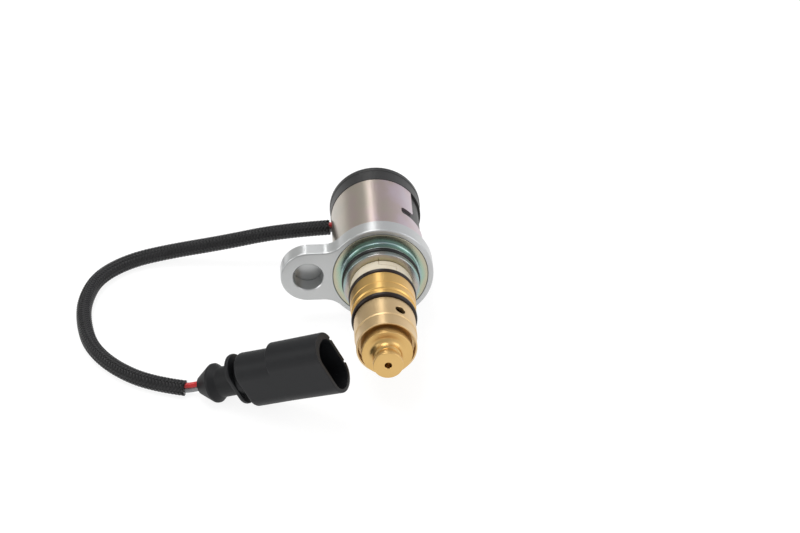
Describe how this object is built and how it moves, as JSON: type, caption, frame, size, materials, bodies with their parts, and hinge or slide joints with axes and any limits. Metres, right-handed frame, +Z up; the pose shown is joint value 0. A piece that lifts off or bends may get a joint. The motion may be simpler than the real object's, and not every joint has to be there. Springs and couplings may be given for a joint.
{
  "type": "compressor control valve",
  "caption": "Solenoid control valve for an air conditioning compressor, with a bolt ear, a stepped brass nose with rubber rings and a lead with a plug.",
  "frame": {"origin": "on the table that the valve lies on, below the middle of the valve without its lead and plug", "axes": "-Y along the valve towards its nose, which tips up about 3 degrees, +Z up, -X towards the bolt ear"},
  "size_m": [0.1077, 0.0947, 0.032],
  "materials": {
    "zinc_steel": "zinc plated, passivated",
    "flange_steel": "satin, zinc plated",
    "soft_iron": "turned",
    "spring_steel": "drawn wire",
    "stainless": "turned",
    "copper_wire": "enamelled winding wire",
    "golden_brass": "turned, bright",
    "pale_brass": "turned, satin",
    "bronze": "formed bellows",
    "black_resin": "moulded, fine grain",
    "bobbin_plastic": "moulded",
    "black_rubber": "moulded ring",
    "brown_rubber": "moulded ring",
    "white_plastic": "machined ring",
    "braid": "braided sleeve",
    "red_wire": "wire insulation",
    "grey_wire": "wire insulation",
    "plug_plastic": "moulded, matt",
    "boot_rubber": "moulded, matt",
    "tin_plate": "tin plated"
  },
  "bodies": {
    "valve": {"flange_plate": "flange_steel", "front_yoke": "zinc_steel", "solenoid_can": "zinc_steel", "rear_yoke": "soft_iron", "resin_moulding": "black_resin", "coil_bobbin": "bobbin_plastic", "coil_winding": "copper_wire", "guide_tube": "stainless", "fixed_core": "soft_iron", "plunger_spring": "spring_steel", "valve_body": "golden_brass", "valve_seat": "stainless", "o_ring_rear": "black_rubber", "white_ring": "white_plastic", "o_ring_middle": "brown_rubber", "o_ring_front": "brown_rubber", "sensing_bellows": "bronze", "nose_sleeve": "pale_brass", "nose_plug": "golden_brass", "plug_boot": "boot_rubber", "plug_retainer": "plug_plastic", "plug_housing": "plug_plastic", "contact_blade_upper": "tin_plate", "contact_blade_lower": "tin_plate", "braided_sleeve": "braid", "wire_red_valve": "red_wire", "wire_grey_valve": "grey_wire", "wire_red_plug": "red_wire", "wire_grey_plug": "grey_wire"},
    "plunger_group": {"plunger": "soft_iron", "drive_rod": "stainless"}
  },
  "joints": [
    {"name": "plunger_slide", "type": "slide", "parent": "valve", "child": "plunger_group", "axis": [0, -0.9984, 0.0569], "range_m": [0, 0.0008], "stiffness_N_per_m": 1500, "springref_m": -0.002, "deforming": ["plunger_spring"]}
  ]
}
